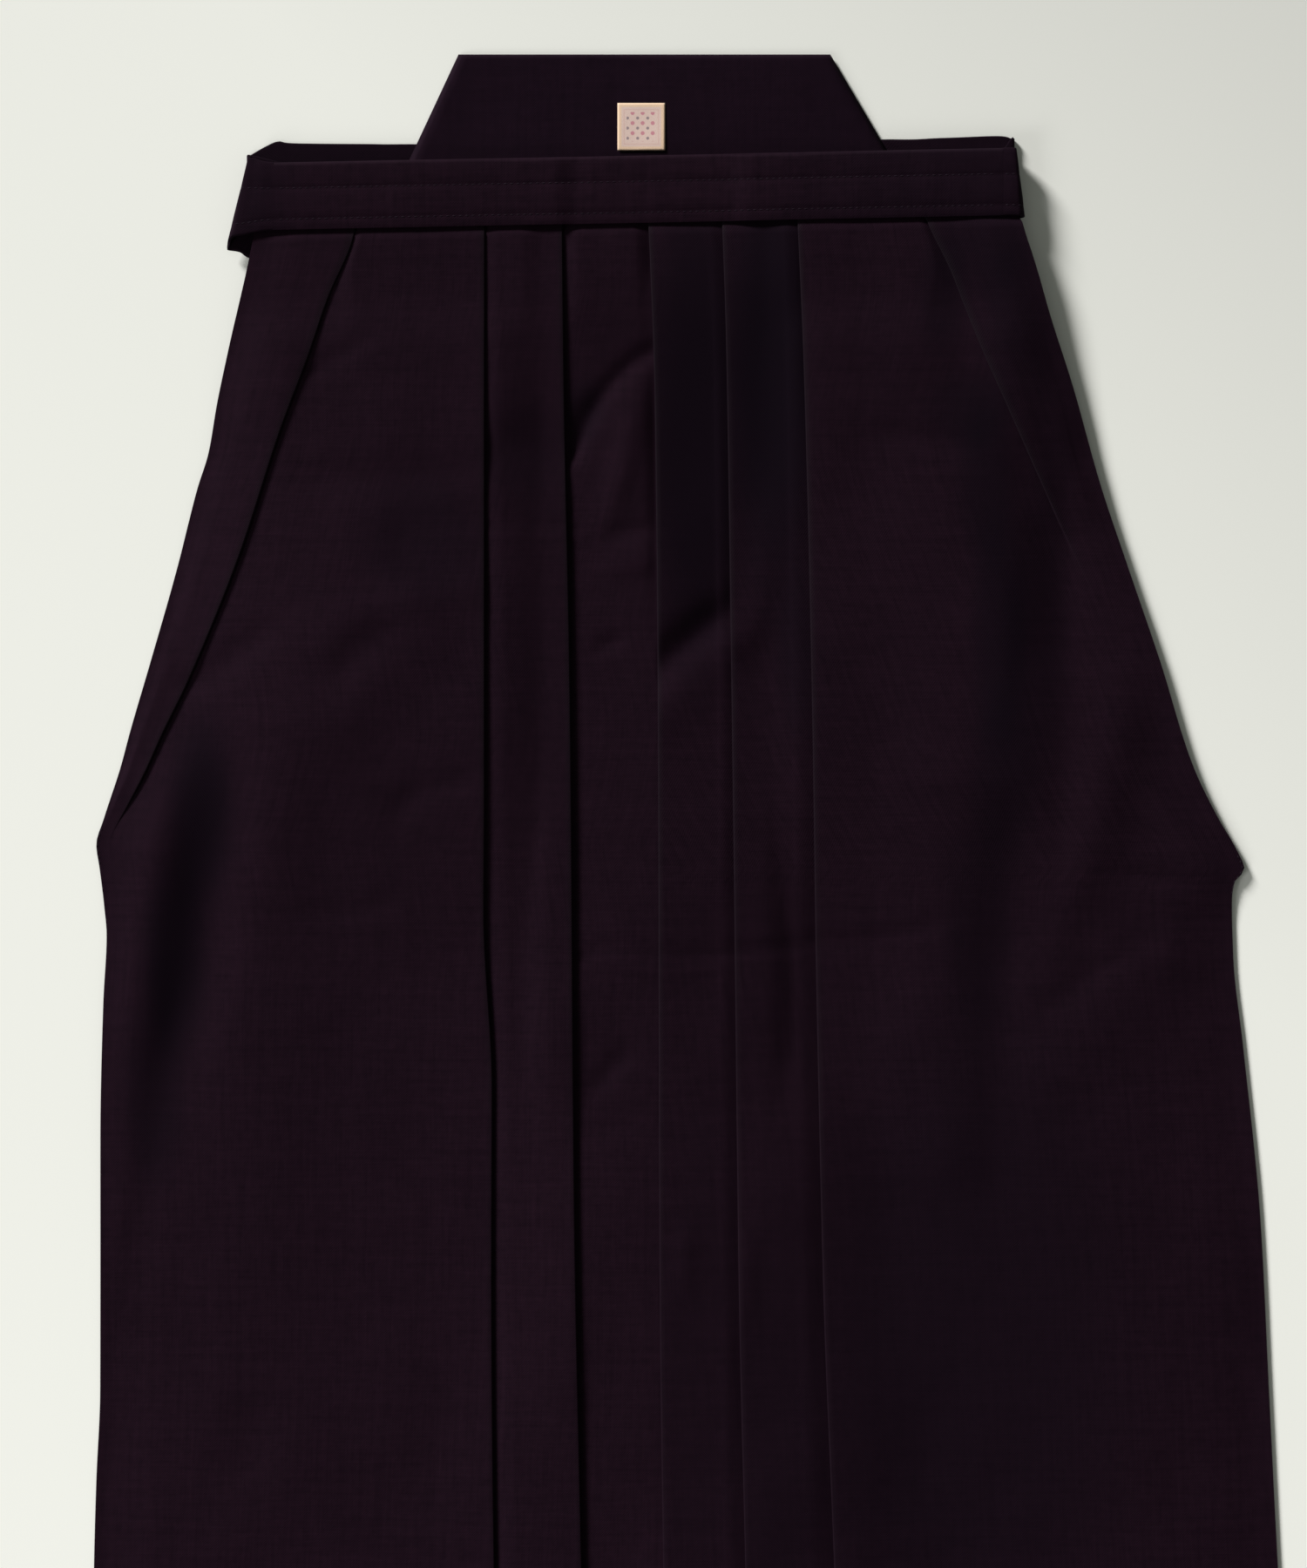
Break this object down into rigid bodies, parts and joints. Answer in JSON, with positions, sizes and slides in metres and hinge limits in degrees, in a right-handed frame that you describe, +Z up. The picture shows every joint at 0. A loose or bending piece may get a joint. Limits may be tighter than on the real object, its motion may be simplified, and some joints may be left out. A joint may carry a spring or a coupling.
{
  "type": "hakama trousers",
  "caption": "Pleated divided hakama trousers laid flat with the front up: pressed knife pleats, slanting side pleats, stitched waistband, stiff back board and folded-away ties.",
  "frame": {"origin": "middle of the laid-out garment's rectangle, on the surface it lies on", "axes": "+X towards the viewer's right, which is the wearer's left; +Y along the length from the hem to the waist; +Z up out of the surface, front of the garment up"},
  "size_m": [0.6296, 1.031, 0.0132],
  "materials": {
    "dark_cloth": "very dark aubergine black plain-weave cloth with a faint sheen, pressed",
    "band_cloth": "the same cloth folded and stitched into a flat band and ties",
    "board_cloth": "the same cloth drawn over a stiff board",
    "label_cloth": "bare peach woven label, no lettering"
  },
  "bodies": {
    "root": {"back_left_panel": "dark_cloth", "back_right_panel": "dark_cloth", "back_tie_left": "band_cloth", "back_tie_right": "band_cloth", "front_band": "band_cloth", "front_left_panel": "dark_cloth", "front_right_panel": "dark_cloth", "front_tie_left": "band_cloth", "front_tie_right": "band_cloth", "gusset_left": "dark_cloth", "gusset_right": "dark_cloth", "koshi_ita": "board_cloth", "label": "label_cloth"}
  },
  "joints": []
}
